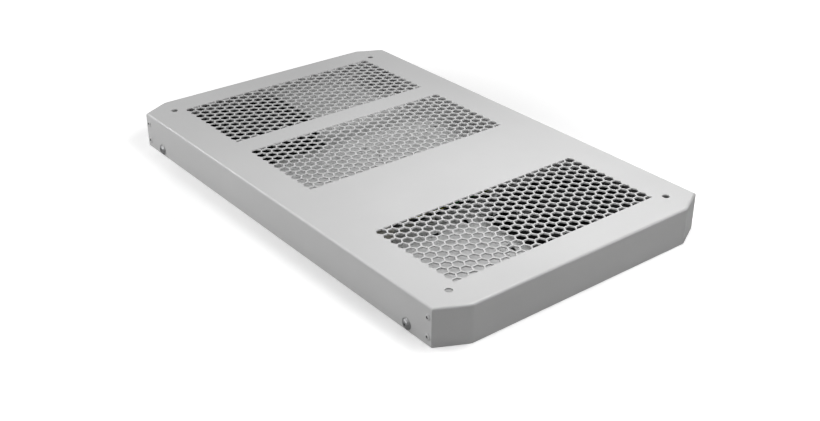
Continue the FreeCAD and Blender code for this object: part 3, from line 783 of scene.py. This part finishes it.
earth_route = [
    (-88.0, -74.0, 9.0), (-70.0, -74.0, 9.0), (-48.0, -76.5, 5.6), (-8.0, -74.0, 3.4), (28.0, -78.0, 3.6),
    (49.0, -76.0, 4.8), (61.4, -76.0, 4.8),
]
assemble(lead("rear_lead_sheath", rear_route, 0.002), sheath_black, "lead", "tray", "rear_fan_lead")
assemble(lead("front_lead_sheath", front_route, 0.002), sheath_black, "lead", "tray", "front_fan_lead")
assemble(lead("earth_lead_sheath", earth_route, 0.0015), striped_sheath(), "earth_sheath", "tray", "earth_lead")
nylon = moulded("natural_nylon", (0.62, 0.60, 0.53), (0.70, 0.68, 0.61),
                roughness=0.35, specular=0.5, grain=0.06, grain_size=400.0)
assemble(softened_copy("cable_ties", "cable_tie_set", 0.0003), nylon, "tie", "tray", "cable_ties")


# Hood: one sheet of 1.5 mm steel, punched with three windows of staggered hexagonal holes and four access
# holes, folded down on all sides with the corners cut off, and powder-coated light grey. Tabs of the corner
# walls go behind the long walls, where they are riveted.
hood_top = hood_high.z
half_width = hood_high.x
half_length = hood_high.y
hood_sheet = 0.0015
hood_fold = 0.0026
seam_gap = 0.0004
tab_step = 0.0016
tab_length = 0.0125
hex_pitch = 0.01105
hex_flats = 0.0095
hex_rows = 10
hex_columns = 27
window_centres = (0.184, 0.041, -0.181)
access_radius = 0.00375
corner_x = half_width - corner_cut_x
seam_y = corner_y - seam_gap
column_pitch = hex_pitch * math.sqrt(3) / 2
first_hole = (hex_rows - 0.5) / 2 * hex_pitch
window_edge = first_hole + hex_flats / 2
window_left = -(hex_columns - 1) / 2 * column_pitch
least_hole_area = 2e-5


def is_folded(edge):
    place = middle(edge)
    upright = abs(abs(place.y) - half_length) < near and abs(abs(place.x) - corner_x) < near
    return upright or place.z > hood_top - near


def faces_up(face):
    return face.normal.z > 0.999


def faces_aside(face):
    return abs(face.normal.x) > 0.999


def is_open_top_edge(edge):
    return is_open_edge(edge) and middle(edge).z > hood_top - same_place


def is_hole(face):
    return len(face.verts) > 3 and middle(face).z > hood_top - same_place and face.calc_area() > least_hole_area


hood = new_block("hood_sheet", hood_low, hood_high)
for side, end in quarters:
    cut_off(hood, (side * half_width, end * corner_y, 0), (side * corner_cut_y, end * corner_cut_x, 0))
open_for_edit(hood)
pick(hood, "FACE", faces_down)
bpy.ops.mesh.delete(type="FACE")
pick(hood, "EDGE", is_folded)
bpy.ops.mesh.bevel(offset=hood_fold, offset_type="OFFSET", segments=5, affect="EDGES")
pick(hood, "FACE", faces_up)
bpy.ops.mesh.delete(type="ONLY_FACE")
for end in (-1, 1):
    pick(hood, "FACE", faces_aside)
    bpy.ops.mesh.bisect(plane_co=(0, end * seam_y, 0), plane_no=(0, end, 0))
pick(hood, "FACE", lambda f: faces_aside(f) and abs(middle(f).y) > seam_y)
bpy.ops.mesh.delete(type="ONLY_FACE")
pick(hood, "EDGE", lambda e: e.is_wire)
bpy.ops.mesh.delete(type="EDGE")
for side, end in quarters:
    seam = Vector((side * half_width, end * corner_y, 0))
    pick(hood, "EDGE", lambda e: e.is_boundary and (middle(e) - seam).xy.length < near)
    extrude_by((-side * tab_step, -end * tab_step, 0))
    extrude_by((0, -end * tab_length, 0))
close_edit()


def hole_columns(name, column, first, count, repeats):
    cell = new_ring(name, (window_left + column * column_pitch, first, hood_top), hex_pitch / math.sqrt(3), 6,
                    filled=True, turn=math.pi / 6)
    open_for_edit(cell)
    select_whole()
    bpy.ops.mesh.inset(thickness=(hex_pitch - hex_flats) / 2)
    close_edit()
    for steps, offset in ((count, (0, -hex_pitch, 0)), (repeats, (2 * column_pitch, 0, 0))):
        modify(cell, "ARRAY", count=steps, use_relative_offset=False, use_constant_offset=True,
               constant_offset_displace=offset, use_merge_vertices=True, merge_threshold=near)
    return cell


windows = []
for centre in window_centres:
    window = hole_columns("window", 0, first_hole, hex_rows + 1, (hex_columns + 1) // 2)
    odd = hole_columns("odd", 1, first_hole + hex_pitch / 2, hex_rows + 1, hex_columns // 2)
    join_into(window, [odd])
    open_for_edit(window)
    select_whole()
    bpy.ops.mesh.remove_doubles(threshold=near)
    for end in (-1, 1):
        select_whole()
        bpy.ops.mesh.bisect(plane_co=(0, end * window_edge, 0), plane_no=(0, end, 0), clear_outer=True)
    select_whole()
    bpy.ops.transform.translate(value=(0, centre, 0))
    close_edit()
    windows.append(window)
rings = [new_ring("access", (*place, hood_top), access_radius, hole_sides) for place in fixing_places]
join_into(hood, windows + rings)
open_for_edit(hood)
pick(hood, "EDGE", is_open_top_edge)
bpy.ops.mesh.fill(use_beauty=True)
pick(hood, "FACE", is_hole)
bpy.ops.mesh.delete(type="FACE")
face_outwards()
close_edit()
modify(hood, "SOLIDIFY", thickness=hood_sheet, offset=-1, use_even_offset=True)
modify(hood, "BEVEL", width=coat_edge, segments=1, limit_method="ANGLE", angle_limit=math.radians(70))
smooth(hood, 35)
modify(hood, "WEIGHTED_NORMAL", mode="FACE_AREA", keep_sharp=True)
assemble(hood, grey_coat, "hood", "tray", "hood")


# Blind rivets: aluminium, two in each corner, powder-coated with the hood. The dome stays proud of the wall, with
# the broken steel mandrel down in its hole, and the blind side is pulled up behind the tab. The mandrel and the hole
# round it are painted near black, as painted shade in the hole.
rivet_y = corner_y - 0.0057
rivet_levels = (0.0086, 0.0285)
rivet_sides = 28
mandrel_shade_reach = 0.0014
rivet_face = half_width - 0.0006
rivet_profile = [
    (0.0015, -0.0049), (0.0021, -0.0047), (0.0023, -0.0043), (0.0023, -0.0034), (0.0020, -0.0031), (0.0016, -0.0031),
    (0.0016, 0), (0.0032, 0), (0.00325, 0.0002), (0.0031, 0.00045), (0.0027, 0.0007), (0.0022, 0.00085),
    (0.0017, 0.0009), (0.00135, 0.00082), (0.00125, 0.0006), (0.0012, -0.0004), (0.0009, -0.0004), (0.0007, -0.0002),
]


def side_copies(piece, name, places):
    turned = [((side * half_width, y, z), (0, side * math.pi / 2, 0)) for side, y, z in places]
    return copies_turned(piece, name, turned)


rivet = turned_part("blind_rivet", rivet_profile, rivet_sides)
rivet_places = [(side, end * rivet_y, z) for side, end in quarters for z in rivet_levels]
rivets = side_copies(rivet, "blind_rivet_set", rivet_places)
smooth(rivets, 40)
assemble(rivets, grey_coat, "rivet", "tray", "corner_rivets")
# The mandrel's end and the walls of its hole get a near-black steel, darker than the steel itself: painted shade in
# the hole
rivets.data.materials.append(metal("mandrel_hole_painted_shade", (0.03, 0.03, 0.03), (0.07, 0.07, 0.07), roughness=0.6))
open_for_edit(rivets)
rivets.active_material_index = 1
for side, y, z in rivet_places:
    axis = Vector((0, y, z))
    pick(rivets, "FACE", lambda f: (middle(f) - axis).yz.length < mandrel_shade_reach and abs(middle(f).x) > rivet_face)
    bpy.ops.object.material_slot_assign()
close_edit()


# Side screws: flanged dome heads with a cross recess, zinc-plated steel, driven through the long walls of the hood
# and the flanges of the base into press nuts.
screw_y = corner_y - 0.0345
screw_level = 0.0068
screw_radius = 0.0025
screw_sides = 32
shank_end = -0.0095
tip_radius = 0.0018
tip_length = 0.0006
threaded_length = 0.0078
cross_half_length = 0.0023
cross_half_width = 0.00055
cross_bottom = 0.0012
cross_top = 0.004
cross_taper = 0.45
screw_head = [
    (0.0056, 0), (0.0059, 0.0002), (0.0059, 0.0005), (0.0056, 0.00075), (0.0050, 0.00085), (0.0047, 0.0011),
    (0.0043, 0.0016), (0.0036, 0.0021), (0.0027, 0.00245), (0.0016, 0.0026),
]
thread_start = shank_end + tip_length
screw_shank = [(tip_radius, shank_end)] + thread(screw_radius, thread_start, thread_start + threaded_length)
side_screw = turned_part("side_screw", screw_shank + [(screw_radius, 0)] + screw_head, screw_sides)
for axis in (0, 1):
    reach = [cross_half_width, cross_half_width]
    reach[axis] = cross_half_length
    wing = new_block("cross", (-reach[0], -reach[1], cross_bottom), (*reach, cross_top))
    open_for_edit(wing)
    pick(wing, "FACE", faces_down)
    shrink = [1, 1, 1]
    shrink[axis] = cross_taper
    bpy.ops.transform.resize(value=shrink, center_override=(0, 0, cross_bottom))
    close_edit()
    modify(side_screw, "BOOLEAN", object=wing, operation="DIFFERENCE", solver="EXACT")
    bpy.data.objects.remove(wing)
screw_places = [(side, end * screw_y, screw_level) for side, end in quarters]
side_screw_set = side_copies(side_screw, "side_screw_set", screw_places)
smooth(side_screw_set, 30)
screw_zinc = metal("dull_zinc_plate", (0.36, 0.365, 0.37), (0.50, 0.505, 0.51), roughness=0.4, scale=90.0)
assemble(side_screw_set, screw_zinc, "zinc_steel", "tray", "side_screws")


# Floor, light and camera of the photograph. The floor is pale to the eye and mid grey to the light that it throws
# back, and painted near black under the tray as painted shade, so that nothing shines up through the fans and slots.
# Its glow is weak near the tray, which paints a soft shade round it, and it whitens with distance.
floor_level = -0.0002
floor_margin = 0.004
shaded_grey = 0.03
open_grey = 0.4
seen_gain = 1.2
mirrored_share = 0.16
near_distance, far_distance = 0.25, 0.55
near_glow, far_glow = 0.25, 0.8
vector_maths = "ShaderNodeVectorMath"
bpy.ops.object.select_all(action="DESELECT")
bpy.ops.mesh.primitive_plane_add(size=12, location=(0, 0, floor_level))
floor = take_new("floor")
material, nodes, links, shader = new_material("white_floor")
shader.inputs["Roughness"].default_value = 0.9
place = nodes.new("ShaderNodeTexCoord")
folded = worked_out(nodes, links, "ABSOLUTE", place.outputs["Object"], kind=vector_maths, output="Vector")
corner_reach = (corner_cut_y * half_width + corner_cut_x * corner_y) / cut_length
walls = [
    ((1, 0, 0), half_width),
    ((0, 1, 0), half_length),
    ((corner_cut_y / cut_length, corner_cut_x / cut_length, 0), corner_reach),
]
outside = 0.0
for facing, reach in walls:
    along = worked_out(nodes, links, "DOT_PRODUCT", folded, facing, kind=vector_maths)
    beyond = worked_out(nodes, links, "GREATER_THAN", along, reach - floor_margin)
    outside = worked_out(nodes, links, "MAXIMUM", outside, beyond)
path = nodes.new("ShaderNodeLightPath")
seen = path.outputs["Is Camera Ray"]
# Under the tray the floor's colour is near black: painted shade, also in the light that it throws back
floor_colour = shades(nodes, links, outside, 0.4, 0.6, [shaded_grey] * 3, [open_grey] * 3)
paler = worked_out(nodes, links, "MULTIPLY_ADD", seen, seen_gain, 1.0)
seen_colour = nodes.new(vector_maths)
seen_colour.operation = "SCALE"
links.new(floor_colour, seen_colour.inputs["Vector"])
links.new(paler, seen_colour.inputs["Scale"])
links.new(seen_colour.outputs["Vector"], shader.inputs["Base Color"])
# The glow is weak near the tray and rises with distance: a painted shade round the tray
far_off = worked_out(nodes, links, "LENGTH", folded, kind=vector_maths)
rise = nodes.new("ShaderNodeMapRange")
rise.inputs["From Min"].default_value = near_distance
rise.inputs["From Max"].default_value = far_distance
rise.inputs["To Min"].default_value = near_glow
rise.inputs["To Max"].default_value = far_glow
links.new(far_off, rise.inputs["Value"])
share = worked_out(nodes, links, "MULTIPLY", outside, rise.outputs["Result"])
for ray in ("Is Glossy Ray", "Is Transmission Ray"):
    seen = worked_out(nodes, links, "MULTIPLY_ADD", path.outputs[ray], mirrored_share, seen)
glow = nodes.new("ShaderNodeEmission")
links.new(worked_out(nodes, links, "MULTIPLY", seen, share), glow.inputs["Strength"])
together = nodes.new("ShaderNodeAddShader")
links.new(shader.outputs["BSDF"], together.inputs[0])
links.new(glow.outputs["Emission"], together.inputs[1])
links.new(together.outputs["Shader"], nodes["Material Output"].inputs["Surface"])
floor.data.materials.append(material)


def softbox(name, place, size, power, turn=0.0):
    bpy.ops.object.light_add(type="AREA", location=place)
    lamp = bpy.context.active_object
    lamp.name = name
    lamp.data.shape = "RECTANGLE"
    lamp.data.size, lamp.data.size_y = size
    lamp.data.energy = power
    aim = (-Vector(place)).to_track_quat("-Z", "Y").to_matrix()
    lamp.rotation_euler = (aim @ Matrix.Rotation(math.radians(turn), 3, "Z")).to_euler()


softbox("over_front", (0.15, -0.25, 0.6), (0.3, 0.3), 2.5)
softbox("over_front_edge", (-0.04, -0.48, 0.55), (0.3, 0.3), 0.95)
softbox("rear_strip", (-0.61, 0.95, 0.83), (0.15, 0.9), 5.5, -43.6)
softbox("left_rear", (-1.3, 0.8, 0.5), (0.8, 0.6), 3.2)
softbox("left_side", (-1.5, 0.1, 0.5), (1.0, 0.6), 4.5)
softbox("front_side", (0.2, -1.6, 0.6), (1.2, 0.6), 0.35)
softbox("right_rear", (1.2, 1.0, 0.2), (1.0, 0.3), 2.5)
world = bpy.data.worlds.new("studio")
bpy.context.scene.world = world
world.use_nodes = True
background = world.node_tree.nodes["Background"]
background.inputs["Color"].default_value = (1, 1, 1, 1)
background.inputs["Strength"].default_value = 0.1

view_round = math.radians(-38.418)
view_down = math.radians(28.359)
view_roll = math.radians(0.161)
view_distance = 1.2245
view_shift_right = 0.0090
view_shift_up = -0.0647
focal_pixels = 1142.2
photo_width = 820
back = Vector((
    math.sin(view_round) * math.cos(view_down),
    -math.cos(view_round) * math.cos(view_down),
    math.sin(view_down),
))
right = Vector((math.cos(view_round), math.sin(view_round), 0))
up = back.cross(right)
bpy.ops.object.camera_add(
    location=Vector((0, 0, hood_top)) + back * view_distance + right * view_shift_right + up * view_shift_up
)
camera = bpy.context.active_object
camera.name = "photo_camera"
camera.data.sensor_width = 36
camera.data.lens = focal_pixels / photo_width * camera.data.sensor_width
camera_turn = Matrix((right, up, back)).transposed() @ Matrix.Rotation(view_roll, 3, "Z")
camera.rotation_euler = camera_turn.to_euler()
bpy.context.scene.camera = camera
bpy.context.scene.view_settings.view_transform = "Standard"
